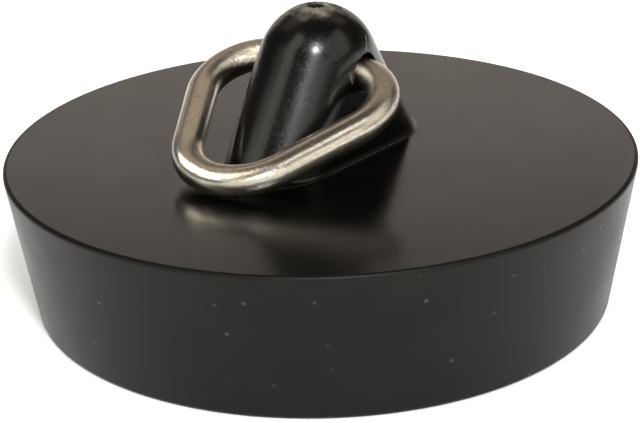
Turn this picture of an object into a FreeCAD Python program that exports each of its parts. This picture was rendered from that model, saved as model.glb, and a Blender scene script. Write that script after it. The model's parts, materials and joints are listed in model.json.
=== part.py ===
"""Drain stopper: a tapered rubber plug with a domed lug, and a bent wire ring through the lug's hole.

The origin is the middle of the plug's underside and +Z is up. The lug's hole runs along X,
and the ring lies towards -Y, with its rounded apex resting on the plug's top.
"""
import FreeCAD, Part
import math
import os
import Sketcher

# Driving dimensions: millimetres, and shares of the size named beside them
SIZES = [
    ("plug_top_diameter", 48.0, "across the sharp upper rim"),
    ("plug_bottom_diameter", 44.0, "across the underside, smaller so that the plug wedges"),
    ("plug_thickness", 11.6, "underside to top"),
    ("plug_rim_break", 0.2, "flat that takes the sharpness off the upper rim"),
    ("plug_foot_break", 0.3, "flat that takes the sharpness off the lower edge"),
    ("lug_length", 18.9, "along Y, where the lug meets the plug's top"),
    ("lug_thickness", 8.0, "along X, which is the length of the hole"),
    ("lug_height", 11.3, "above the plug's top"),
    ("lug_dome_radius", 4.75, "top of the lug, seen along the hole"),
    ("lug_round_share", 0.96, "rounding of the lug's sides, of half its thickness"),
    ("lug_root_radius", 0.4, "hollow rounding where the lug meets the plug's top"),
    ("hole_height", 6.55, "hole's middle above the plug's top"),
    ("hole_offset", 0.8, "hole's middle from the lug's, along Y, as moulded"),
    ("wire_diameter", 2.4, "round wire of the ring"),
    ("hole_play", 0.4, "hole's diameter over the wire's"),
    ("wire_clearance", 0.05, "under the wire in the hole, and under the ring on the plug's top"),
    ("ring_bend_inset", 0.15, "from the lug's face in to the start of the ring's bend, each side"),
    ("ring_slide", 0.36, "ring's middle from the lug's, along the hole towards -X, as it lies"),
    ("ring_corner_radius", 3.9, "wire's middle line, at the two corners beside the lug"),
    ("ring_apex_radius", 5.1, "wire's middle line, at the corner away from the lug"),
    ("ring_apex_gap", 1.25, "from the lug's end to the ring's apex, seen from above, as it lies"),
    ("ring_butt_gap", 0.3, "between the wire's cut ends, inside the lug"),
]

# Derived sizes, as expressions on the sheet
TOP_FACE = "Sizes.plug_thickness"
HOLE_LEVEL = "Sizes.plug_thickness + Sizes.hole_height"
HOLE_DIAMETER = "Sizes.wire_diameter + Sizes.hole_play"
HINGE_HEIGHT = "Sizes.hole_height - Sizes.hole_play / 2 + Sizes.wire_clearance"
REST_DROP = "Sizes.hole_height - Sizes.hole_play / 2 - Sizes.wire_diameter / 2"
REST_RUN = "Sizes.lug_length / 2 + Sizes.ring_apex_gap + Sizes.wire_diameter / 2 + Sizes.hole_offset"
RING_REACH = f"hypot({REST_RUN}; {REST_DROP})"
LUG_ROUNDING = "min(Sizes.lug_thickness / 2; Sizes.lug_dome_radius) * Sizes.lug_round_share"
HALF_SEAT = "Sizes.lug_thickness / 2 - Sizes.ring_bend_inset"
HALF_BUTT_GAP = "Sizes.ring_butt_gap / 2"


def fill_sheet(doc):
    """Put every driving dimension in the sheet under its own name, and return them as numbers."""
    sheet = doc.addObject("Spreadsheet::Sheet", "Sizes")
    for row, (name, value, note) in enumerate(SIZES, start=1):
        sheet.set(f"A{row}", name)
        sheet.set(f"B{row}", str(value))
        sheet.set(f"C{row}", note)
        sheet.setAlias(f"B{row}", name)
    doc.recompute()
    return {name: sheet.get(name) for name, value, note in SIZES}


def new_sketch(body, plane_role, name):
    """Start a sketch on one of the body's own origin planes."""
    plane = next(item for item in body.Origin.OriginFeatures if item.Role == plane_role)
    sketch = body.newObject("Sketcher::SketchObject", name)
    sketch.AttachmentSupport = [(plane, "")]
    sketch.MapMode = "FlatFace"
    return sketch


def drive(sketch, kind, *ends_and_size):
    """Add a dimension to a sketch and bind it to an expression, the last argument."""
    *ends, start_value, expression = ends_and_size
    index = sketch.addConstraint(Sketcher.Constraint(kind, *ends, start_value))
    sketch.setExpression(f"Constraints[{index}]", expression)


def point(x, y):
    return FreeCAD.Vector(x, y, 0)


def round_edges(doc, body, name, base, edges, expression):
    """Round the numbered edges of the base feature with a radius from the sheet."""
    fillet = body.newObject("PartDesign::Fillet", name)
    fillet.Base = (base, [f"Edge{number}" for number in edges])
    fillet.setExpression("Radius", expression)
    doc.recompute()
    return fillet


def break_edges(doc, body, name, base, edges, expression):
    """Cut a small flat along the numbered edges of the base feature, with a size from the sheet."""
    chamfer = body.newObject("PartDesign::Chamfer", name)
    chamfer.Base = (base, [f"Edge{number}" for number in edges])
    chamfer.setExpression("Size", expression)
    doc.recompute()
    return chamfer


def numbered_edges(feature, wanted):
    """Numbers of the feature's edges for which wanted(edge) is true."""
    return [number for number, edge in enumerate(feature.Shape.Edges, start=1) if wanted(edge)]


def lug_outline(body, size):
    """Lug seen along the hole: two sloping ends, tangent to a domed top."""
    sketch = new_sketch(body, "YZ_Plane", "LugOutline")
    half = size["lug_length"] / 2
    foot = size["plug_thickness"]
    middle = foot + size["lug_height"] - size["lug_dome_radius"]
    radius = size["lug_dome_radius"]
    rise = middle - foot
    slope = math.atan2(rise, half) + math.asin(radius / math.hypot(half, rise))
    right = point(radius * math.sin(slope), middle + radius * math.cos(slope))
    left = point(-right.x, right.y)
    dome = Part.Circle(point(0, middle), FreeCAD.Vector(0, 0, 1), radius)
    start_angle = math.pi / 2 - slope
    sketch.addGeometry(Part.LineSegment(point(-half, foot), point(half, foot)))
    sketch.addGeometry(Part.LineSegment(point(half, foot), right))
    sketch.addGeometry(Part.ArcOfCircle(dome, start_angle, math.pi - start_angle))
    sketch.addGeometry(Part.LineSegment(left, point(-half, foot)))
    base_line, right_end, dome_arc, left_end = range(4)
    sketch.addConstraint([
        Sketcher.Constraint("Coincident", base_line, 2, right_end, 1),
        Sketcher.Constraint("Tangent", right_end, 2, dome_arc, 1),
        Sketcher.Constraint("Tangent", dome_arc, 2, left_end, 1),
        Sketcher.Constraint("Coincident", left_end, 2, base_line, 1),
        Sketcher.Constraint("Symmetric", base_line, 1, base_line, 2, -2),
        Sketcher.Constraint("PointOnObject", dome_arc, 3, -2),
    ])
    drive(sketch, "DistanceX", base_line, 1, base_line, 2, 2 * half, "Sizes.lug_length")
    drive(sketch, "DistanceY", -1, 1, base_line, 1, foot, TOP_FACE)
    drive(sketch, "Radius", dome_arc, radius, "Sizes.lug_dome_radius")
    drive(sketch, "DistanceY", -1, 1, dome_arc, 3, middle,
          f"{TOP_FACE} + Sizes.lug_height - Sizes.lug_dome_radius")
    return sketch


def add_lug(doc, body, size):
    """Lug as a slab of its outline, rounded over all round both faces."""
    slab = body.newObject("PartDesign::Pad", "LugSlab")
    slab.Profile = lug_outline(body, size)
    slab.SideType = "Symmetric"
    slab.setExpression("Length", "Sizes.lug_thickness")
    doc.recompute()
    foot = size["plug_thickness"]

    def on_face_outline(edge):
        box = edge.BoundBox
        across = box.XLength < Part.Precision.approximation()
        return across and box.ZMax - foot > Part.Precision.approximation()

    outline = numbered_edges(slab, on_face_outline)
    return round_edges(doc, body, "LugRounding", slab, outline, LUG_ROUNDING)


def add_disc(doc, body, size):
    """Tapered disc of the plug, turned about Z."""
    sketch = new_sketch(body, "XZ_Plane", "DiscProfile")
    bottom = size["plug_bottom_diameter"] / 2
    top = size["plug_top_diameter"] / 2
    thick = size["plug_thickness"]
    corners = [point(0, 0), point(bottom, 0), point(top, thick), point(0, thick)]
    for start, end in zip(corners, corners[1:] + corners[:1]):
        sketch.addGeometry(Part.LineSegment(start, end))
    under, side, upper, middle = range(4)
    sketch.addConstraint([
        Sketcher.Constraint("Coincident", under, 2, side, 1),
        Sketcher.Constraint("Coincident", side, 2, upper, 1),
        Sketcher.Constraint("Coincident", upper, 2, middle, 1),
        Sketcher.Constraint("Coincident", middle, 2, under, 1),
        Sketcher.Constraint("Coincident", under, 1, -1, 1),
        Sketcher.Constraint("Horizontal", under),
        Sketcher.Constraint("Horizontal", upper),
        Sketcher.Constraint("Vertical", middle),
    ])
    drive(sketch, "DistanceX", under, 1, under, 2, bottom, "Sizes.plug_bottom_diameter / 2")
    drive(sketch, "DistanceX", upper, 2, upper, 1, top, "Sizes.plug_top_diameter / 2")
    drive(sketch, "DistanceY", under, 1, upper, 2, thick, TOP_FACE)
    disc = body.newObject("PartDesign::Revolution", "Disc")
    disc.Profile = sketch
    disc.ReferenceAxis = (sketch, ["V_Axis"])
    doc.recompute()
    return disc


def add_hole(doc, body, size):
    """Cross hole right through the lug, along X."""
    sketch = new_sketch(body, "YZ_Plane", "HoleCircle")
    radius = (size["wire_diameter"] + size["hole_play"]) / 2
    level = size["plug_thickness"] + size["hole_height"]
    middle = point(size["hole_offset"], level)
    circle = sketch.addGeometry(Part.Circle(middle, FreeCAD.Vector(0, 0, 1), radius))
    drive(sketch, "Diameter", circle, 2 * radius, HOLE_DIAMETER)
    drive(sketch, "DistanceX", -1, 1, circle, 3, middle.x, "Sizes.hole_offset")
    drive(sketch, "DistanceY", -1, 1, circle, 3, level, HOLE_LEVEL)
    before = body.Shape.Volume
    hole = body.newObject("PartDesign::Pocket", "CrossHole")
    hole.Profile = sketch
    hole.Type = "ThroughAll"
    hole.SideType = "Symmetric"
    doc.recompute()
    print(f"cross hole takes {before - hole.Shape.Volume:.1f} cubic mm out of the lug")
    return hole


def finish_plug_edges(doc, body, base, size):
    """Hollow rounding round the lug's root, then the upper rim and the lower edge."""
    foot = size["plug_thickness"]
    rim = size["plug_top_diameter"] / 2

    def at_level(edge, level):
        box = edge.BoundBox
        return max(abs(box.ZMin - level), abs(box.ZMax - level)) < Part.Precision.approximation()

    def is_rim(edge):
        return edge.BoundBox.XMax > rim - size["plug_rim_break"]

    root = numbered_edges(base, lambda edge: at_level(edge, foot) and not is_rim(edge))
    hollow = round_edges(doc, body, "LugRoot", base, root, "Sizes.lug_root_radius")
    upper = numbered_edges(hollow, lambda edge: at_level(edge, foot) and is_rim(edge))
    broken = break_edges(doc, body, "UpperRim", hollow, upper, "Sizes.plug_rim_break")
    lower = numbered_edges(broken, lambda edge: at_level(edge, 0))
    return break_edges(doc, body, "LowerEdge", broken, lower, "Sizes.plug_foot_break")


def make_stopper(doc, size):
    """Rubber moulding: lug, disc, cross hole and rounded edges."""
    body = doc.addObject("PartDesign::Body", "stopper_body")
    add_lug(doc, body, size)
    add_disc(doc, body, size)
    hole = add_hole(doc, body, size)
    finish_plug_edges(doc, body, hole, size)
    return body


def ring_reach(size):
    """Wire's middle line, from the hole to the apex, for a ring that lies with its apex on the plug's top."""
    drop = size["hole_height"] - size["hole_play"] / 2 - size["wire_diameter"] / 2
    run = size["lug_length"] / 2 + size["ring_apex_gap"] + size["wire_diameter"] / 2 + size["hole_offset"]
    return math.hypot(run, drop)


def ring_path(body, size):
    """Middle line of the wire, from one cut end round the triangle to the other; the apex is at -Y."""
    sketch = new_sketch(body, "XY_Plane", "RingPath")
    gap = size["ring_butt_gap"] / 2
    seat = size["lug_thickness"] / 2 - size["ring_bend_inset"]
    corner = size["ring_corner_radius"]
    apex = size["ring_apex_radius"]
    apex_middle = ring_reach(size) - apex
    run = math.hypot(seat, apex_middle - corner)
    lean = math.atan2(apex_middle - corner, seat) + math.asin((apex - corner) / run)
    normal = point(math.sin(lean), -math.cos(lean))
    up = FreeCAD.Vector(0, 0, 1)

    def mirrored(vector):
        return point(-vector.x, vector.y)

    right_middle = point(seat, -corner)
    low_middle = point(0, -apex_middle)
    right_end = right_middle + normal * corner
    low_end = low_middle + normal * apex
    turn = math.atan2(normal.y, normal.x)
    right_bend = Part.Circle(right_middle, up, corner)
    low_bend = Part.Circle(low_middle, up, apex)
    left_bend = Part.Circle(mirrored(right_middle), up, corner)
    sketch.addGeometry(Part.LineSegment(point(gap, 0), point(seat, 0)))
    sketch.addGeometry(Part.ArcOfCircle(right_bend, turn, math.pi / 2))
    sketch.addGeometry(Part.LineSegment(right_end, low_end))
    sketch.addGeometry(Part.ArcOfCircle(low_bend, -math.pi - turn, turn))
    sketch.addGeometry(Part.LineSegment(mirrored(low_end), mirrored(right_end)))
    sketch.addGeometry(Part.ArcOfCircle(left_bend, math.pi / 2, math.pi - turn))
    sketch.addGeometry(Part.LineSegment(point(-seat, 0), point(-gap, 0)))
    right_seat, right_arc, right_side, low_arc, left_side, left_arc, left_seat = range(7)
    sketch.addConstraint([
        Sketcher.Constraint("PointOnObject", right_seat, 1, -1),
        Sketcher.Constraint("Horizontal", right_seat),
        Sketcher.Constraint("Tangent", right_seat, 2, right_arc, 2),
        Sketcher.Constraint("Tangent", right_arc, 1, right_side, 1),
        Sketcher.Constraint("Tangent", right_side, 2, low_arc, 2),
        Sketcher.Constraint("PointOnObject", low_arc, 3, -2),
        Sketcher.Constraint("Tangent", low_arc, 1, left_side, 1),
        Sketcher.Constraint("Tangent", left_side, 2, left_arc, 2),
        Sketcher.Constraint("Tangent", left_arc, 1, left_seat, 1),
        Sketcher.Constraint("Symmetric", right_seat, 2, left_seat, 1, -2),
        Sketcher.Constraint("Symmetric", right_seat, 1, left_seat, 2, -2),
        Sketcher.Constraint("Equal", right_arc, left_arc),
    ])
    drive(sketch, "DistanceX", -1, 1, right_seat, 1, gap, HALF_BUTT_GAP)
    drive(sketch, "DistanceX", -1, 1, right_seat, 2, seat, HALF_SEAT)
    drive(sketch, "Radius", right_arc, corner, "Sizes.ring_corner_radius")
    drive(sketch, "Radius", low_arc, apex, "Sizes.ring_apex_radius")
    drive(sketch, "DistanceY", low_arc, 3, -1, 1, apex_middle, f"{RING_REACH} - Sizes.ring_apex_radius")
    return sketch


def make_ring(doc, size):
    """Round wire swept along its path, then laid down on the plug's top."""
    body = doc.addObject("PartDesign::Body", "pull_ring")
    path = ring_path(body, size)
    section = new_sketch(body, "YZ_Plane", "WireSection")
    section.setExpression("AttachmentOffset.Base.z", HALF_BUTT_GAP)
    middle = FreeCAD.Vector(0, 0, 0)
    circle = section.addGeometry(Part.Circle(middle, FreeCAD.Vector(0, 0, 1), size["wire_diameter"] / 2))
    section.addConstraint(Sketcher.Constraint("Coincident", circle, 3, -1, 1))
    drive(section, "Diameter", circle, size["wire_diameter"], "Sizes.wire_diameter")
    doc.recompute()
    wire = body.newObject("PartDesign::AdditivePipe", "BentWire")
    wire.Profile = section
    wire.Spine = path
    doc.recompute()
    upright = FreeCAD.Rotation(FreeCAD.Vector(1, 0, 0), 90)
    body.Placement = FreeCAD.Placement(FreeCAD.Vector(0, 0, 0), upright)
    body.setExpression("Placement.Base.x", "-Sizes.ring_slide")
    body.setExpression("Placement.Base.y", "Sizes.hole_offset")
    body.setExpression("Placement.Base.z", f"{TOP_FACE} + {HINGE_HEIGHT}")
    body.setExpression("Placement.Rotation.Angle", f"atan(({REST_DROP}) / ({REST_RUN}))")
    doc.recompute()
    length = path.Shape.Length
    steel = math.pi * size["wire_diameter"] ** 2 / 4 * length
    print(f"wire length {length:.2f} mm, volume {wire.Shape.Volume:.2f}, section times length {steel:.2f}")
    return body


def check(doc, bodies):
    """Stop before anything is written if a feature failed or a piece isn't one valid solid."""
    failed = [item.Name for item in doc.Objects if "Invalid" in item.State or "Error" in item.State]
    if failed:
        raise RuntimeError(f"features failed: {failed}")
    for body in bodies:
        shape = body.Shape
        if shape.isNull() or not shape.isValid() or len(shape.Solids) != 1:
            raise RuntimeError(f"{body.Label} isn't one valid solid")


def main():
    doc = FreeCAD.newDocument("drain_stopper")
    size = fill_sheet(doc)
    bodies = [make_stopper(doc, size), make_ring(doc, size)]
    doc.recompute()
    check(doc, bodies)
    os.makedirs("parts", exist_ok=True)
    for body in bodies:
        box = body.Shape.BoundBox
        print(f"{body.Label}: {body.Shape.Volume:.1f} cubic mm, {box.XLength:.2f} x {box.YLength:.2f} x "
              f"{box.ZLength:.2f} mm, lowest {box.ZMin:.3f}")
        body.Shape.exportStep(f"parts/{body.Label}.step")


main()
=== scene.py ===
# %% [markdown]
# # Drain stopper
# A rubber plug for a sink: one black moulding, a tapered disc with a domed lug standing on it, and a ring
# of plated wire that hangs through the lug's hole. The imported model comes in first. It is the fixed frame:
# each piece below is made at the model's own size and place, in metres, so nothing has to be fitted later.

# %% Load the frame
import json
import math

import bmesh
import bpy
from mathutils import Matrix, Vector


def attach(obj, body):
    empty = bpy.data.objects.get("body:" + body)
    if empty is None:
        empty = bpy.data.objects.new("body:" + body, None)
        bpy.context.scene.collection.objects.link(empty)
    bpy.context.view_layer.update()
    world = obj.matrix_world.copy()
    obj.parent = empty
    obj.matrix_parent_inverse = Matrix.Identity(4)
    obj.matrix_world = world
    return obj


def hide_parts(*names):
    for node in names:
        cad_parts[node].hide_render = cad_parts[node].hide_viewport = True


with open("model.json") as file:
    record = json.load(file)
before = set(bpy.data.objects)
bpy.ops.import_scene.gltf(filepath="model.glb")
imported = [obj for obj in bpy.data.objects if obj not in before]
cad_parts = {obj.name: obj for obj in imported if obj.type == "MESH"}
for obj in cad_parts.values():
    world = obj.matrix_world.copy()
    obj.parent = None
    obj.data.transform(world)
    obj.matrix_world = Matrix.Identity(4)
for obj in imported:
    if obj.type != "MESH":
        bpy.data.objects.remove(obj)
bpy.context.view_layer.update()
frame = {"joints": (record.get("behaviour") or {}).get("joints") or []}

MM = 0.001


def in_mm(lengths):
    """Lengths in metres, rounded and in millimetres, for printing."""
    return [round(length / MM, 2) for length in lengths]


# %% [markdown]
# Every step below works as a person does at the screen: clear the selection, add or pick something, then
# run one tool on it. A few small helpers do that. `pick` selects corners, edges or faces of the piece being
# edited by a test on their place, which is how a script points at things.

# %% Helpers for picking and applying
def clear_selection():
    """Leave edit mode and deselect every object."""
    if bpy.context.object and bpy.context.object.mode != "OBJECT":
        bpy.ops.object.mode_set(mode="OBJECT")
    bpy.ops.object.select_all(action="DESELECT")


def select_only(piece):
    """Make one piece the only selected object, and the active one."""
    clear_selection()
    piece.select_set(True)
    bpy.context.view_layer.objects.active = piece


def edit(piece):
    """Go into the mesh of one piece."""
    select_only(piece)
    bpy.ops.object.mode_set(mode="EDIT")


def leave_edit():
    bpy.ops.object.mode_set(mode="OBJECT")


def pick(kind, test):
    """In edit mode, select the corners, edges or faces that pass the test, and return how many."""
    bpy.ops.mesh.select_mode(type=kind)
    bpy.ops.mesh.select_all(action="DESELECT")
    mesh = bmesh.from_edit_mesh(bpy.context.object.data)
    items = {"VERT": mesh.verts, "EDGE": mesh.edges, "FACE": mesh.faces}[kind]
    chosen = [item for item in items if test(item)]
    for item in chosen:
        item.select_set(True)
    mesh.select_flush_mode()
    bmesh.update_edit_mesh(bpy.context.object.data)
    return len(chosen)


def apply_modifier(piece, kind, **settings):
    """Add a modifier, set it and apply it to the mesh."""
    select_only(piece)
    modifier = piece.modifiers.new(kind.title(), kind)
    for name, value in settings.items():
        setattr(modifier, name, value)
    bpy.ops.object.modifier_apply(modifier=modifier.name)


print("helpers for picking ready")

# %% [markdown]
# The disc is what seats in the waste outlet, so it is wider at its top than at its foot. A cylinder of the
# foot's radius is the start, and its upper face is scaled out to the rim's radius. A cone primitive would
# give the same taper, but scaling one face shows where the taper comes from.

# %% Tapered disc
RIM_RADIUS = 24.0 * MM
FOOT_RADIUS = 22.0 * MM
DISC_THICK = 11.6 * MM
DISC_SIDES = 256
UPWARD = 0.9

clear_selection()
bpy.ops.mesh.primitive_cylinder_add(vertices=DISC_SIDES, radius=FOOT_RADIUS, depth=DISC_THICK,
                                    location=(0, 0, DISC_THICK / 2))
stopper = bpy.context.object
stopper.name = "moulded_stopper"
bpy.ops.object.transform_apply(location=True, rotation=True, scale=True)
edit(stopper)
pick("FACE", lambda face: face.normal.z > UPWARD)
bpy.ops.transform.resize(value=(RIM_RADIUS / FOOT_RADIUS, RIM_RADIUS / FOOT_RADIUS, 1))
leave_edit()
print("disc, mm:", in_mm(stopper.dimensions))

# %% [markdown]
# The lug is the handle of the moulding. Seen along its hole it is two sloping ends that run into a round
# dome without a corner. One point is the start: it is extruded up the slope, spun over the dome and
# extruded down the other slope, as a wire would be bent. A face then fills the outline, and the face is
# extruded to the lug's thickness. It starts a little below the disc's top, to join it without a gap.

# %% Lug outline
LUG_LENGTH = 18.9 * MM
LUG_HEIGHT = 11.3 * MM
LUG_THICK = 8.0 * MM
DOME_RADIUS = 4.75 * MM
DOME_STEPS = 40
SUNK = 1.0 * MM

half_length = LUG_LENGTH / 2
lug_top = DISC_THICK + LUG_HEIGHT
dome_middle = Vector((0, 0, lug_top - DOME_RADIUS))
rise = dome_middle.z - DISC_THICK
slope = math.atan2(rise, half_length) + math.asin(DOME_RADIUS / math.hypot(half_length, rise))
tangent = dome_middle + DOME_RADIUS * Vector((0, math.sin(slope), math.cos(slope)))
root = Vector((0, half_length + SUNK / math.tan(slope), DISC_THICK - SUNK))


def straight(run):
    """Extrude what is selected along a straight run."""
    bpy.ops.mesh.extrude_region_move(TRANSFORM_OT_translate={"value": run})


clear_selection()
bpy.ops.mesh.primitive_plane_add(size=MM)
lug = bpy.context.object
lug.name = "lug"
edit(lug)
pick("VERT", lambda corner: True)
bpy.ops.mesh.merge(type="CENTER")
bpy.ops.transform.translate(value=root + Vector((-LUG_THICK / 2, 0, 0)))
straight(tangent - root)
bpy.ops.mesh.spin(steps=DOME_STEPS, angle=2 * slope, center=dome_middle, axis=(-1, 0, 0))
straight((0, tangent.y - root.y, root.z - tangent.z))
bpy.ops.mesh.select_all(action="SELECT")
bpy.ops.mesh.edge_face_add()
straight((LUG_THICK, 0, 0))
bpy.ops.mesh.select_all(action="SELECT")
bpy.ops.mesh.normals_make_consistent(inside=False)
leave_edit()
print("lug slab, mm:", in_mm(lug.dimensions))
print("its ends slope at", round(math.degrees(slope), 1), "degrees")

# %% [markdown]
# A moulded lug has no sharp edge to hold on to: both faces are rounded over, by almost half the lug's
# thickness, so that it reads as one smooth swelling. One bevel with many segments on the two outlines
# does it. The edges at the bottom are left alone, because they end inside the disc.

# %% Lug rounded over
ROUND_SHARE = 0.96
ROUND_STEPS = 16
HAIR = 0.01 * MM
SAME_PLACE = 0.002 * MM

bottom = DISC_THICK - SUNK + HAIR


def on_outline(edge):
    """The edge lies in one of the lug's two faces, and not along the bottom."""
    first, second = (corner.co for corner in edge.verts)
    return abs(first.x - second.x) < HAIR and max(first.z, second.z) > bottom


def bevel_picked(size, steps):
    """Round the picked edges with an arc of the given size."""
    bpy.ops.mesh.bevel(offset_type="OFFSET", offset=size, segments=steps, profile=0.5, affect="EDGES",
                       clamp_overlap=False)


def clean_up():
    """Merge corners that fell together, and turn all faces outwards."""
    bpy.ops.mesh.select_all(action="SELECT")
    bpy.ops.mesh.remove_doubles(threshold=SAME_PLACE)
    bpy.ops.mesh.normals_make_consistent(inside=False)


edit(lug)
rounded = pick("EDGE", on_outline)
bevel_picked(ROUND_SHARE * LUG_THICK / 2, ROUND_STEPS)
clean_up()
leave_edit()
print("lug rounded over along", rounded, "edges,", len(lug.data.polygons), "faces")

# %% [markdown]
# On the real plug disc and lug are one piece of rubber. A Boolean union makes one skin of them, with the
# lug's sunk bottom swallowed by the disc. Joining the two meshes would look alike from far away, but it
# would leave no edge at the lug's root to round.

# %% Lug and disc made one
apply_modifier(stopper, "BOOLEAN", operation="UNION", solver="EXACT", object=lug)
bpy.data.objects.remove(lug)
print("one skin:", len(stopper.data.polygons), "faces")

# %% [markdown]
# The hole for the ring runs right across the lug, a little off its middle, as the moulding pin left it.
# A plain cylinder is the pin, and a Boolean difference pulls it out of the rubber.

# %% Cross hole
WIRE_RADIUS = 1.2 * MM
HOLE_PLAY = 0.4 * MM
HOLE_OFFSET = 0.8 * MM
HOLE_HEIGHT = 6.55 * MM
HOLE_SIDES = 64

hole_radius = WIRE_RADIUS + HOLE_PLAY / 2
hole_middle = Vector((0, HOLE_OFFSET, DISC_THICK + HOLE_HEIGHT))

clear_selection()
bpy.ops.mesh.primitive_cylinder_add(vertices=HOLE_SIDES, radius=hole_radius, depth=2 * LUG_THICK,
                                    location=hole_middle, rotation=(0, math.pi / 2, 0))
pin = bpy.context.object
apply_modifier(stopper, "BOOLEAN", operation="DIFFERENCE", solver="EXACT", object=pin)
bpy.data.objects.remove(pin)
print("with the hole:", len(stopper.data.polygons), "faces")

# %% [markdown]
# The two halves of the mould met at the hole, and a little rubber crept between them: a thin ridge of
# flash stands above the hole's mouth, and a burr hangs at its front edge. Each is a slender cone laid
# along its line, half sunk in the lug, and made one with it by a Boolean union. A row below gives a cone's
# start, end and two radii, in millimetres. The burr is two cones that meet at a bend.

# %% Flash and burr at the hole
FLASH_SIDES = 10
FLASH = [
    ((3.86, 0.95, 19.7), (3.47, 1.45, 20.6), 0.13, 0.05),
    ((3.97, -0.92, 17.75), (4.0, -1.12, 18.3), 0.05, 0.1),
    ((4.0, -1.1, 18.25), (3.96, -1.2, 18.7), 0.1, 0.05),
]


def add_flash(start, end, start_radius, end_radius):
    """A thin cone of rubber from start to end, grown into the lug."""
    start, end = Vector(start) * MM, Vector(end) * MM
    along = end - start
    clear_selection()
    bpy.ops.mesh.primitive_cone_add(vertices=FLASH_SIDES, radius1=start_radius * MM, radius2=end_radius * MM,
                                    depth=along.length, location=(start + end) / 2,
                                    rotation=along.to_track_quat("Z", "Y").to_euler())
    sliver = bpy.context.object
    apply_modifier(stopper, "BOOLEAN", operation="UNION", solver="EXACT", object=sliver)
    bpy.data.objects.remove(sliver)


for line in FLASH:
    add_flash(*line)
print("with flash:", len(stopper.data.polygons), "faces")

# %% [markdown]
# Rubber comes out of a mould with small roundings everywhere: a hollow one at the lug's root, and tight
# ones along the rim, the foot and the mouths of the hole. Each is a bevel on a loop of edges that is found
# by its place. They are small, but each catches its own thin line of light or shade in the photo. Around
# the hole the Boolean leaves some very short edges, which are merged before the bevel.

# %% Small roundings
ROOT_HOLLOW = 0.4 * MM
RIM_ROUND = 0.35 * MM
FOOT_ROUND = 0.3 * MM
MOUTH_ROUND = 0.12 * MM
FINE_STEPS = 4
PLAIN_STEPS = 3
NEAR = 0.02 * MM
SHORT_EDGE = 0.06 * MM
FACING = 0.3


def at_level(edge, level):
    return all(abs(corner.co.z - level) < NEAR for corner in edge.verts)


def off_centre(edge):
    return ((edge.verts[0].co + edge.verts[1].co) / 2).xy.length


def off_hole(corner):
    return math.hypot(corner.co.y - hole_middle.y, corner.co.z - hole_middle.z)


def is_root(edge):
    return at_level(edge, DISC_THICK) and off_centre(edge) < RIM_RADIUS / 2


def is_rim(edge):
    return at_level(edge, DISC_THICK) and off_centre(edge) > RIM_RADIUS - MM


def is_foot(edge):
    return at_level(edge, 0) and off_centre(edge) > FOOT_RADIUS - MM


def is_mouth(edge):
    """The hole's wall meets the lug's face here: on the wall, and not running along it."""
    on_wall = all(abs(off_hole(corner) - hole_radius) < NEAR for corner in edge.verts)
    return on_wall and any(abs(face.normal.x) > FACING for face in edge.link_faces)


edit(stopper)
root_edges = pick("EDGE", is_root)
bevel_picked(ROOT_HOLLOW, FINE_STEPS)
rim_edges = pick("EDGE", is_rim)
bevel_picked(RIM_ROUND, FINE_STEPS)
foot_edges = pick("EDGE", is_foot)
bevel_picked(FOOT_ROUND, PLAIN_STEPS)
pick("EDGE", is_mouth)
bpy.ops.mesh.remove_doubles(threshold=SHORT_EDGE)
mouth_edges = pick("EDGE", is_mouth)
bevel_picked(MOUTH_ROUND, PLAIN_STEPS)
leave_edit()
print("edges rounded: root", root_edges, "rim", rim_edges, "foot", foot_edges, "mouths", mouth_edges)

# %% [markdown]
# The rubber entered the mould at the lug's apex. Where the sprue was torn off it left a small pit with a
# ragged lip. The faces there are cut finer first. The lip's corners are then pushed up and the pit's pulled
# down, each with proportional editing, which lets the corners around them follow. A little random movement
# with a fixed seed makes it torn and not turned.

# %% Pit of the torn sprue
PIT_MIDDLE = Vector((0.1 * MM, -0.15 * MM, lug_top))
PIT_RADIUS = 0.48 * MM
PIT_DEPTH = 0.6 * MM
PIT_FOLLOW = 0.25 * MM
LIP_RADIUS = 1.7 * PIT_RADIUS
LIP_HEIGHT = 0.05 * MM
LIP_FOLLOW = 0.35 * MM
LIP_RAGGED = 0.07 * MM
SKIN_RAGGED = 0.03 * MM
SCAR_REACH = 2.0 * MM
SCAR_CUTS = 4


def near_pit(point, reach):
    """On the lug's upper half, and closer to the pit's axis than reach."""
    return point.z > DISC_THICK + LUG_HEIGHT / 2 and (point - PIT_MIDDLE).xy.length < reach


def pick_near_pit(reach):
    return pick("VERT", lambda corner: near_pit(corner.co, reach))


def make_ragged(amount, seed):
    bpy.ops.transform.vertex_random(offset=amount, uniform=0, normal=1, seed=seed)


def push(height, falloff, follow):
    """Move the picked corners up, and let the corners around them follow."""
    bpy.ops.transform.translate(value=(0, 0, height), use_proportional_edit=True,
                                proportional_edit_falloff=falloff, proportional_size=follow)


edit(stopper)
pick("FACE", lambda face: face.normal.z > FACING and near_pit(face.calc_center_median(), SCAR_REACH))
bpy.ops.mesh.subdivide(number_cuts=SCAR_CUTS)
torn_corners = pick_near_pit(SCAR_REACH)
make_ragged(SKIN_RAGGED, seed=4)
lip_corners = pick_near_pit(LIP_RADIUS)
push(LIP_HEIGHT, "SMOOTH", LIP_FOLLOW)
make_ragged(LIP_RAGGED, seed=9)
pit_corners = pick_near_pit(PIT_RADIUS)
push(-PIT_DEPTH, "SHARP", PIT_FOLLOW)
leave_edit()
print("corners: torn skin", torn_corners, "lip", lip_corners, "pit", pit_corners)

# %% [markdown]
# The ring is one length of round wire, bent at three places and closed with its two cut ends butting
# inside the lug. It is made the way it is bent: a disc of the wire's section is extruded for a straight
# run and spun about a bend's middle, in turn, all the way round. A curve with a round bevel would be
# quicker, but the spins give true arcs that run into the straights without a kink.

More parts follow.
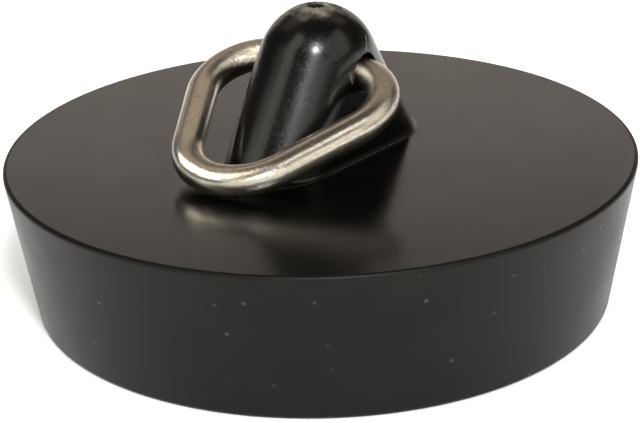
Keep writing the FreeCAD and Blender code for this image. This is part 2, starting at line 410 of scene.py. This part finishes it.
# %% Bent wire ring
WIRE_SIDES = 40
BUTT_GAP = 0.3 * MM
BEND_INSET = 0.15 * MM
CORNER_RADIUS = 3.9 * MM
CORNER_STEPS = 24
APEX_RADIUS = 5.1 * MM
APEX_STEPS = 28
APEX_GAP = 1.25 * MM
END_BEVEL = 0.1 * MM
END_STEPS = 2

seat = LUG_THICK / 2 - BEND_INSET
rest_run = half_length + APEX_GAP + WIRE_RADIUS + hole_middle.y
rest_drop = hole_middle.z - DISC_THICK - hole_radius
reach = math.hypot(rest_run, rest_drop)
right_middle = Vector((seat, -CORNER_RADIUS, 0))
left_middle = Vector((-seat, -CORNER_RADIUS, 0))
apex_middle = Vector((0, APEX_RADIUS - reach, 0))
between = apex_middle - right_middle
lean = math.atan2(-between.y, seat) + math.asin((APEX_RADIUS - CORNER_RADIUS) / between.length)
outward = Vector((math.sin(lean), -math.cos(lean), 0))
corner_turn = math.pi - lean
apex_turn = 2 * lean
side_run = between + outward * (APEX_RADIUS - CORNER_RADIUS)
seat_run = Vector((seat - BUTT_GAP / 2, 0, 0))


def bend(middle, turn, steps):
    """Spin what is selected about a bend's middle."""
    bpy.ops.mesh.spin(steps=steps, angle=turn, center=middle, axis=(0, 0, 1))


def at_cut_end(corner):
    return abs(abs(corner.co.x) - BUTT_GAP / 2) < NEAR and abs(corner.co.y) < 2 * WIRE_RADIUS


clear_selection()
bpy.ops.mesh.primitive_circle_add(vertices=WIRE_SIDES, radius=WIRE_RADIUS, fill_type="NGON",
                                  location=(BUTT_GAP / 2, 0, 0), rotation=(0, math.pi / 2, 0))
ring = bpy.context.object
ring.name = "bent_wire_ring"
bpy.ops.object.transform_apply(location=True, rotation=True, scale=True)
edit(ring)
pick("FACE", lambda face: True)
straight(seat_run)
bend(right_middle, corner_turn, CORNER_STEPS)
straight(side_run)
bend(apex_middle, apex_turn, APEX_STEPS)
straight(Vector((side_run.x, -side_run.y, 0)))
bend(left_middle, corner_turn, CORNER_STEPS)
straight(seat_run)
clean_up()
pick("EDGE", lambda edge: all(at_cut_end(corner) for corner in edge.verts))
bevel_picked(END_BEVEL, END_STEPS)
leave_edit()
print("ring, mm:", in_mm(ring.dimensions), "reach", round(reach / MM, 2))

# %% [markdown]
# The ring lies with its apex on the disc's top, so it hangs down from the hole at an angle. The frame's
# joint gives the point that it swings about. The turn and the move are applied to the mesh, so that the
# object itself stays at the origin, as the frame asks.

# %% Ring laid down
RING_SLIDE = 0.36 * MM

swing = next(joint for joint in frame["joints"] if joint["name"] == "ring_swing")
tilt = math.atan2(rest_drop, rest_run)
select_only(ring)
ring.rotation_euler.x = tilt
ring.location = Vector(swing["pos_m"]) - Vector((RING_SLIDE, 0, 0))
bpy.ops.object.transform_apply(location=True, rotation=True, scale=True)
lowest = min(corner.co.z for corner in ring.data.vertices)
print("ring tilted by", round(math.degrees(tilt), 2), "degrees")
print("its lowest point is", round((lowest - DISC_THICK) / MM, 3), "mm above the disc")

# %% [markdown]
# Smooth shading hides the facets of round surfaces. Where a small rounding meets a wide flat, plain smooth
# normals would smear a shade across the flat, so a Weighted Normal modifier lets the wide faces win.

# %% Smooth shading
SMOOTH_BELOW = math.radians(40)
WIDE_FACES_WIN = 80

for piece in (stopper, ring):
    select_only(piece)
    bpy.ops.object.shade_smooth_by_angle(angle=SMOOTH_BELOW)
    apply_modifier(piece, "WEIGHTED_NORMAL", mode="FACE_AREA", weight=WIDE_FACES_WIN, keep_sharp=True)
    print(piece.name, len(piece.data.polygons), "faces, smooth")

# %% [markdown]
# A material is a small graph of nodes, and most graphs here begin alike: the place on the piece goes into
# a texture, and the texture's value is stretched to a range that is useful. These helpers add one node
# each. All patterns read Object coordinates, in metres, so a grain of an eighth of a millimetre is written
# as just that, and it stays on the piece when the ring swings.

# %% Helpers for materials
SOFT_CORE = 0.2


def connect(tree, value, socket):
    """Link a node's output to a socket, or set the socket to a plain value."""
    if isinstance(value, bpy.types.NodeSocket):
        tree.links.new(value, socket)
    else:
        socket.default_value = value


def add_node(tree, kind, inputs=None, **options):
    """Add a shader node, set its options, and link or set its named inputs."""
    node = tree.nodes.new("ShaderNode" + kind)
    for name, value in options.items():
        setattr(node, name, value)
    for name, value in (inputs or {}).items():
        connect(tree, value, node.inputs[name])
    return node


def new_material(name):
    """A material with its graph, its main shader and the place on the piece."""
    material = bpy.data.materials.new(name)
    material.use_nodes = True
    tree = material.node_tree
    return material, tree, tree.nodes["Principled BSDF"], add_node(tree, "TexCoord").outputs["Object"]


def mottle(tree, place, size, detail=2):
    """Soft noise between 0 and 1, with patches of about the given size."""
    return add_node(tree, "TexNoise", {"Vector": place, "Scale": 1 / size, "Detail": detail}).outputs["Fac"]


def stretch(tree, value, low, high, to_low, to_high):
    """Bring a value's range low to high to another range, and clamp it there."""
    return add_node(tree, "MapRange", {"Value": value, "From Min": low, "From Max": high, "To Min": to_low,
                                       "To Max": to_high}).outputs["Result"]


def combine(tree, operation, first, second):
    """Two values brought together, each an output of a node or a plain number."""
    node = add_node(tree, "Math", operation=operation)
    connect(tree, first, node.inputs[0])
    connect(tree, second, node.inputs[1])
    return node.outputs[0]


def distance_to(tree, place, point):
    """How far the place is from a point."""
    return add_node(tree, "VectorMath", {0: place, 1: point}, operation="DISTANCE").outputs["Value"]


def mix_colours(tree, share, first, second):
    """Colour that goes from the first to the second as share goes from 0 to 1."""
    node = add_node(tree, "Mix", data_type="RGBA")
    connect(tree, share, node.inputs["Factor"])
    for socket, colour in ((node.inputs[6], first), (node.inputs[7], second)):
        connect(tree, (*colour, 1) if isinstance(colour, tuple) else colour, socket)
    return node.outputs[2]


def specks(tree, place, cell, radius):
    """Small soft spots, at most one in each cell of a Voronoi pattern: 1 in a spot's middle, 0 beside it."""
    spot = add_node(tree, "TexVoronoi", {"Vector": place, "Scale": 1 / cell}).outputs["Distance"]
    return stretch(tree, spot, SOFT_CORE * radius / cell, radius / cell, 1, 0)


def roughen(tree, shader, height, depth):
    """Fine relief on the surface: height 0 to 1 stands for the given depth."""
    bump = add_node(tree, "Bump", {"Height": height, "Distance": depth, "Strength": 1.0})
    tree.links.new(bump.outputs["Normal"], shader.inputs["Normal"])


print("helpers for materials ready")

# %% [markdown]
# The whole stopper is one black rubber, but mould and wear left it several finishes: a smooth top that
# mirrors what stands on it, a matt side with pale dust in it, a duller rim between the two, a lug whose skin
# is finely pebbled, so that its highlights break into grains, and thin flash whose pale colour is a painted
# highlight. One function builds them all. Rubber is nearly black all through, so what the eye sees on it is
# mostly gloss: the care goes into roughness and relief, not into colour. Only the noise's peaks become
# pebbles, and the skin between them stays flat, because an even grain would scatter the light and turn the
# black to grey.

# %% Black rubber
GRAIN = 0.12 * MM
PATCH = 5.0 * MM
DUST_CELL = 0.75 * MM
SPECK_CELL = 1.9 * MM
PALE_DUST = (0.08, 0.078, 0.07)
NOISE_LOW = 0.35
NOISE_HIGH = 0.65
DUSTY_FROM = 0.4
DUSTY_TO = 0.7
LEAST_DUST = 0.05
MOST_DUST = 0.3
FAINTEST_SPECK = 0.25
PEBBLE_FOOT = 0.56
PEBBLE_TOP = 0.76


def black_rubber(name, dark, light, smooth, rough, gloss, depth, dust, speck):
    """Rubber with two base colours, a range of roughness, the pebbles' depth, and the pale spots' radii."""
    material, tree, shader, place = new_material(name)
    patches = mottle(tree, place, PATCH)
    grains = mottle(tree, place, GRAIN, detail=3)
    colour = mix_colours(tree, stretch(tree, patches, NOISE_LOW, NOISE_HIGH, 0, 1), dark, light)
    dusty = stretch(tree, patches, DUSTY_FROM, DUSTY_TO, LEAST_DUST, MOST_DUST)
    faint = combine(tree, "MULTIPLY", specks(tree, place, DUST_CELL, dust), dusty)
    strength = stretch(tree, mottle(tree, place, SPECK_CELL), NOISE_LOW, NOISE_HIGH, FAINTEST_SPECK, 1)
    spots = combine(tree, "MULTIPLY", specks(tree, place, SPECK_CELL, speck), strength)
    colour = mix_colours(tree, combine(tree, "MAXIMUM", faint, spots), colour, PALE_DUST)
    uneven = combine(tree, "MULTIPLY", combine(tree, "ADD", patches, grains), 0.5)
    roughness = stretch(tree, uneven, NOISE_LOW, NOISE_HIGH, smooth, rough)
    tree.links.new(colour, shader.inputs["Base Color"])
    tree.links.new(roughness, shader.inputs["Roughness"])
    shader.inputs["Specular IOR Level"].default_value = gloss
    pebbles = stretch(tree, grains, PEBBLE_FOOT, PEBBLE_TOP, 0, 1)
    roughen(tree, shader, pebbles, depth)
    return material, tree, shader, colour, roughness, place


top_rubber = black_rubber(
    "rubber_top", dark=(0.0007, 0.0006, 0.0005), light=(0.0018, 0.0015, 0.0012), smooth=0.18, rough=0.25,
    gloss=0.5, depth=0.0005 * MM, dust=0.03 * MM, speck=0.1 * MM)[0]
side_rubber = black_rubber(
    "rubber_side", dark=(0.0022, 0.0024, 0.0012), light=(0.0045, 0.0048, 0.003), smooth=0.3, rough=0.42,
    gloss=0.19, depth=0.002 * MM, dust=0.05 * MM, speck=0.2 * MM)[0]
rim_rubber = black_rubber(
    "rubber_rim", dark=(0.0022, 0.0022, 0.0013), light=(0.0045, 0.0044, 0.003), smooth=0.42, rough=0.52,
    gloss=0.2, depth=0.002 * MM, dust=0.05 * MM, speck=0.2 * MM)[0]
# The flash's pale colour is a painted highlight: the light that its thin ridge and the burr catch.
flash_painted_highlight = black_rubber(
    "rubber_flash_painted_highlight", dark=(0.1, 0.095, 0.075), light=(0.2, 0.19, 0.15), smooth=0.55, rough=0.7,
    gloss=0.3, depth=0.01 * MM, dust=0.02 * MM, speck=0.02 * MM)[0]
lug_rubber, lug_tree, lug_shader, lug_colour, lug_roughness, lug_place = black_rubber(
    "rubber_lug", dark=(0.0012, 0.0013, 0.0009), light=(0.003, 0.003, 0.0022), smooth=0.17, rough=0.24,
    gloss=0.5, depth=0.006 * MM, dust=0.03 * MM, speck=0.05 * MM)
finishes = (top_rubber, side_rubber, lug_rubber, flash_painted_highlight, rim_rubber)
print("finishes:", [finish.name for finish in finishes])

# %% [markdown]
# The lug's top is where the rubber came into the mould. The sprue was torn off there, so the skin around it
# is dull and paler, with a ragged border. In the graph that border is the distance from the lug's apex,
# pushed to and fro by noise. The pit itself is modelled in the mesh. The scar's pale is kept out of its
# walls, which stay black, partly as the rubber's own colour and partly as painted shade. They are quite
# dull, or they would mirror the lamps in front and the hole would vanish.

# %% Dull skin round the sprue
SCAR_RADIUS = 1.9 * MM
SCAR_WAVE = 1.4 * MM
WAVE_SIZE = 1.2 * MM
SCAR_FULL = SCAR_RADIUS + 0.1 * SCAR_WAVE
SCAR_GONE = SCAR_RADIUS + 0.8 * SCAR_WAVE
TORN_PATCH = 1.1 * MM
TORN_LOW = 0.35
TORN_HIGH = 0.7
TORN_DARK = (0.024, 0.022, 0.017)
TORN_PALE = (0.32, 0.285, 0.225)
TORN_ROUGHNESS = 0.55
PIT_INSIDE = 0.58 * MM
PIT_OUTSIDE = 0.68 * MM
PIT_ROUGHNESS = 0.95
PALE_IN_PIT_PAINTED_SHADE = 0.02

from_apex = distance_to(lug_tree, lug_place, (0, 0, lug_top))
wave = combine(lug_tree, "MULTIPLY", mottle(lug_tree, lug_place, WAVE_SIZE, detail=3), SCAR_WAVE)
away = combine(lug_tree, "ADD", from_apex, wave)
scar = stretch(lug_tree, away, SCAR_FULL, SCAR_GONE, 1, 0)
patchy = stretch(lug_tree, mottle(lug_tree, lug_place, TORN_PATCH, detail=5), TORN_LOW, TORN_HIGH, 0, 1)
torn = mix_colours(lug_tree, patchy, TORN_DARK, TORN_PALE)

# The scar's pale is kept out of the pit, whose walls stay black: partly the rubber's own colour, partly
# painted shade.
flat_place = add_node(lug_tree, "VectorMath", {0: lug_place, 1: (1, 1, 0)}, operation="MULTIPLY")
from_pit = distance_to(lug_tree, flat_place.outputs["Vector"], (*PIT_MIDDLE.xy, 0))
clear_of_pit_painted_shade = stretch(lug_tree, from_pit, PIT_INSIDE, PIT_OUTSIDE, PALE_IN_PIT_PAINTED_SHADE, 1)
in_pit = stretch(lug_tree, from_pit, PIT_INSIDE, PIT_OUTSIDE, PIT_ROUGHNESS, 0)

scar = combine(lug_tree, "MULTIPLY", scar, clear_of_pit_painted_shade)
lug_tree.links.new(mix_colours(lug_tree, scar, lug_colour, torn), lug_shader.inputs["Base Color"])
dull = combine(lug_tree, "MAXIMUM", lug_roughness, combine(lug_tree, "MULTIPLY", scar, TORN_ROUGHNESS))
lug_tree.links.new(combine(lug_tree, "MAXIMUM", dull, in_pit), lug_shader.inputs["Roughness"])
print("lug's skin:", len(lug_tree.nodes), "nodes")

# %% [markdown]
# Each finish goes on its own faces. The lug is everything above the disc's top, the side is every face
# that leans outwards below it, and the rest is top and underside. The rim is the upper rounding of the side.
# The thin flash is found by its distance from the lines that it was made along.

# %% Finishes on their faces
TOP_SKIN = 0.003 * MM

stopper.data.materials.clear()
for finish in finishes:
    stopper.data.materials.append(finish)


def is_side(face):
    middle = face.calc_center_median()
    return middle.z < DISC_THICK - TOP_SKIN and middle.xy.length > FOOT_RADIUS - MM


def is_lug(face):
    return face.calc_center_median().z > DISC_THICK + NEAR


def is_flash(face):
    """The face's middle lies on the outer skin of one of the flash's cones."""
    for start, end, start_radius, end_radius in FLASH:
        start, end = Vector(start) * MM, Vector(end) * MM
        point = face.calc_center_median()
        share = (point - start).dot(end - start) / (end - start).length_squared
        radius = (start_radius + (end_radius - start_radius) * share) * MM
        if 0 <= share <= 1 and (point - start.lerp(end, share)).length < radius:
            return True
    return False


def is_rim_rounding(face):
    middle = face.calc_center_median()
    in_rounding = DISC_THICK - RIM_ROUND < middle.z < DISC_THICK - TOP_SKIN
    return in_rounding and middle.xy.length > RIM_RADIUS - MM


def give_finish(index, test):
    """Pick faces by a test and assign the material in that slot, as with the Assign button."""
    picked = pick("FACE", test)
    stopper.active_material_index = index
    bpy.ops.object.material_slot_assign()
    return picked


edit(stopper)
all_faces = give_finish(0, lambda face: True)
side_faces = give_finish(1, is_side)
lug_faces = give_finish(2, is_lug)
# The flash's faces take the pale finish, which paints their highlight.
flash_faces = give_finish(3, is_flash)
rim_faces = give_finish(4, is_rim_rounding)
leave_edit()
print("faces: side", side_faces, "lug", lug_faces, "flash", flash_faces, "rim", rim_faces, "of", all_faces)

# %% [markdown]
# The ring is steel wire with a thin bright plating, nickel by its warm tone. Drawn wire isn't a mirror: the
# plating follows fine pits, so a reflection's border dissolves into specks, most of all at the two bends
# beside the lug, where the wire was stretched. A shallow bump with pits of an eighth of a millimetre does
# that, at its full depth only near the lug. Dull brown flecks from the same noise add age.

# %% Plated wire
PITS = 0.13 * MM
PITS_DEPTH = 0.042 * MM
WEAR = 2.5 * MM
STRAIN_STARTS = -5 * MM
STRAIN_FULL = -2 * MM
LEAST_STRAIN = 0.45
FLECK_EDGE = 0.55
FLECK_MIDDLE = 0.65
LEAST_FLECKS = 0.15
MOST_FLECKS = 0.8
DEEP_NICKEL = (0.66, 0.60, 0.50)
LIGHT_NICKEL = (0.74, 0.68, 0.57)
BROWN_FLECK = (0.3, 0.26, 0.2)
SMOOTH_WIRE = 0.18
DULL_WIRE = 0.26

nickel, tree, shader, place = new_material("plated_wire")
pits = mottle(tree, place, PITS, detail=3)
wear = mottle(tree, place, WEAR)
worn = stretch(tree, wear, 0.4, 0.65, LEAST_FLECKS, MOST_FLECKS)
flecks = combine(tree, "MULTIPLY", stretch(tree, pits, FLECK_EDGE, FLECK_MIDDLE, 0, 1), worn)
bright = mix_colours(tree, wear, DEEP_NICKEL, LIGHT_NICKEL)
colour = mix_colours(tree, flecks, bright, BROWN_FLECK)
tree.links.new(colour, shader.inputs["Base Color"])
tree.links.new(stretch(tree, wear, 0.3, 0.7, SMOOTH_WIRE, DULL_WIRE), shader.inputs["Roughness"])
shader.inputs["Metallic"].default_value = 1
along = add_node(tree, "SeparateXYZ", {"Vector": place}).outputs["Y"]
strain = stretch(tree, along, STRAIN_STARTS, STRAIN_FULL, LEAST_STRAIN, 1)
roughen(tree, shader, combine(tree, "MULTIPLY", pits, strain), PITS_DEPTH)
ring.data.materials.clear()
ring.data.materials.append(nickel)
print("plated wire:", len(tree.nodes), "nodes")

# %% [markdown]
# The floor is a sheet of white paper. Paper lit at the level that suits the object would come out grey, so
# it glows a little where the camera, or a reflection, looks at it. The glow fades where the object stands
# close, by ambient occlusion, which paints a soft shade round the foot, and the cast shadow under the foot
# stays.

# %% Floor
FLOOR_SIZE = 4
FLOOR_LIFT = 0.6
SHADOW_REACH = 12 * MM
PAPER_WHITE = (0.95, 0.95, 0.95, 1)

clear_selection()
bpy.ops.mesh.primitive_plane_add(size=FLOOR_SIZE)
floor = bpy.context.object
floor.name = "floor"
paper, tree, shader = new_material("white_paper")[:3]
shader.inputs["Base Color"].default_value = PAPER_WHITE
shader.inputs["Roughness"].default_value = 1
shader.inputs["Specular IOR Level"].default_value = 0
path = add_node(tree, "LightPath")
seen = combine(tree, "MAXIMUM", path.outputs["Is Camera Ray"], path.outputs["Is Glossy Ray"])
seen = combine(tree, "MAXIMUM", seen, path.outputs["Is Transmission Ray"])
painted_shade_near_foot = add_node(tree, "AmbientOcclusion", {"Distance": SHADOW_REACH}).outputs["AO"]
glow = combine(tree, "MULTIPLY", combine(tree, "MULTIPLY", seen, painted_shade_near_foot), FLOOR_LIFT)
shader.inputs["Emission Color"].default_value = (1, 1, 1, 1)
tree.links.new(glow, shader.inputs["Emission Strength"])
floor.data.materials.append(paper)
print("floor:", [round(side, 2) for side in floor.dimensions.xy], "m")

# %% [markdown]
# The room around the object is dim and a little warm. Everything bright that the rubber and the wire
# mirror comes from the lamps below.

# %% World
ROOM_COLOUR = (1.0, 0.95, 0.90, 1)
ROOM_LEVEL = 0.07

world = bpy.context.scene.world or bpy.data.worlds.new("studio")
bpy.context.scene.world = world
world.use_nodes = True
room = world.node_tree.nodes["Background"]
room.inputs["Color"].default_value = ROOM_COLOUR
room.inputs["Strength"].default_value = ROOM_LEVEL
print("room light", ROOM_LEVEL)

# %% [markdown]
# Shiny things show their lamps, so the lamps were placed by what the photo's object mirrors. A small strong
# one near the camera, with a soft halo, makes the streak down the lug. Soft boxes at the left make the broad
# band on the lug's left. Two soft panels behind, warm and dim, are what the disc's top mirrors: the lower
# one is the brighter, so the top is lightest at its far edge.
#
# A photographer keeps a lamp off one thing with a flag, a black card on a stand. Light linking does the same
# here: three lamps light the rubber and the floor alone, because they would glare on the wire, and four
# light the wire alone. One of these, `wire_at_hole`, makes the bright ball on the wire where it comes out of
# the hole. The lug would keep that light off, so shadow linking takes the lug out of its way.

# %% Lamps
VIEW_AZIMUTH = 39
STAND = 0.6
BACK_STAND = 0.7


def toward(azimuth, elevation):
    """Unit vector from the object, where azimuth 0 is towards -Y and turns to +X."""
    azimuth, elevation = math.radians(azimuth), math.radians(elevation)
    level = math.cos(elevation)
    return Vector((math.sin(azimuth) * level, -math.cos(azimuth) * level, math.sin(elevation)))


def add_lamp(name, azimuth, elevation, distance, width, height, brightness, colour):
    """Soft box that faces the object, round if width and height are the same.

    Azimuth is counted from the camera's side. Both angles and the box's width and height are in degrees, as
    seen from the object. Brightness is radiance.
    """
    data = bpy.data.lights.new(name, "AREA")
    data.shape = "ELLIPSE" if width == height else "RECTANGLE"
    data.size = 2 * distance * math.tan(math.radians(width / 2))
    data.size_y = 2 * distance * math.tan(math.radians(height / 2))
    data.energy = 4 * data.size * data.size_y * brightness
    data.color = colour
    lamp = bpy.data.objects.new(name, data)
    bpy.context.scene.collection.objects.link(lamp)
    place = toward(VIEW_AZIMUTH + azimuth, elevation)
    lamp.location = place * distance
    lamp.rotation_euler = place.to_track_quat("Z", "Y").to_euler()
    return lamp


def light_only(name, pieces, lamps):
    """Let these lamps light these pieces and nothing else, and return the group of pieces."""
    group = bpy.data.collections.new(name)
    for piece in pieces:
        group.objects.link(piece)
    for lamp in lamps:
        lamp.light_linking.receiver_collection = group
    return group


light_only("rubber_and_floor", (stopper, floor), (
    add_lamp("near_camera", 9, 44.5, STAND, 8, 8, 76, (0.95, 0.98, 1)),
    add_lamp("spot_halo", 10, 44, STAND, 30, 30, 1.5, (0.97, 0.98, 1)),
    add_lamp("left_low", -74, 18, STAND, 18, 21, 2.3, (1, 0.98, 0.9)),
))
at_hole = add_lamp("wire_at_hole", -105, 33, STAND, 16, 16, 16, (1, 0.97, 0.88))
wire = light_only("wire", (ring,), (
    at_hole,
    add_lamp("wire_front", -6, 28, STAND, 14, 14, 5, (0.98, 0.98, 1)),
    add_lamp("wire_high", 22, 55, STAND, 16, 16, 1.5, (1, 0.98, 0.94)),
    add_lamp("wire_left", -74, 34, STAND, 24, 24, 3.2, (1, 0.98, 0.92)),
))
at_hole.light_linking.blocker_collection = wire
add_lamp("front_panel", -5, 18, STAND, 82, 22, 1.12, (1, 0.99, 0.95))
add_lamp("left_box", -62, 47, STAND, 22, 38, 1.2, (1, 0.94, 0.8))
add_lamp("right_box", 64, 34, STAND, 46, 44, 0.72, (1, 0.96, 0.85))
add_lamp("over_front", -16, 56, STAND, 46, 14, 0.36, (1, 0.97, 0.92))
add_lamp("back_low", 180, 14, BACK_STAND, 64, 24, 0.56, (1, 0.88, 0.78))
add_lamp("back_high", 180, 60, BACK_STAND, 80, 24, 0.34, (1, 0.83, 0.69))
print("lamps:", len(bpy.data.lights))

# %% [markdown]
# The camera stands where the photo was taken from: close, so that the disc's near rim looks clearly wider
# than its far one. Its place, roll and lens were found by laying the model's outline over the photo.

# %% Camera
VIEW_ELEVATION = 22.481
VIEW_ROLL = math.radians(-1.728)
VIEW_DISTANCE = 163.2 * MM
AIM_UP = -4.858 * MM
LENS = 120.89
SENSOR_WIDTH = 36
CLIP_START = 10 * MM

back = toward(VIEW_AZIMUTH, VIEW_ELEVATION)
level_right = toward(VIEW_AZIMUTH + 90, 0)
level_up = back.cross(level_right)
right = math.cos(VIEW_ROLL) * level_right + math.sin(VIEW_ROLL) * level_up
up = math.cos(VIEW_ROLL) * level_up - math.sin(VIEW_ROLL) * level_right
camera_data = bpy.data.cameras.new("camera")
camera_data.sensor_width = SENSOR_WIDTH
camera_data.lens = LENS
camera_data.clip_start = CLIP_START
camera = bpy.data.objects.new("camera", camera_data)
bpy.context.scene.collection.objects.link(camera)
stand = Vector((0, 0, DISC_THICK)) + up * AIM_UP + back * VIEW_DISTANCE
camera.matrix_world = Matrix.Translation(stand) @ Matrix((right, up, back)).transposed().to_4x4()
bpy.context.scene.camera = camera
bpy.context.scene.view_settings.view_transform = "Standard"
print("camera at, mm:", in_mm(stand))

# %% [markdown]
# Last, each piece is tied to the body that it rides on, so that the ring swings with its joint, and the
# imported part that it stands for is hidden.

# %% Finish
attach(stopper, "stopper")
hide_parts("stopper_body")
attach(ring, "ring")
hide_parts("pull_ring")
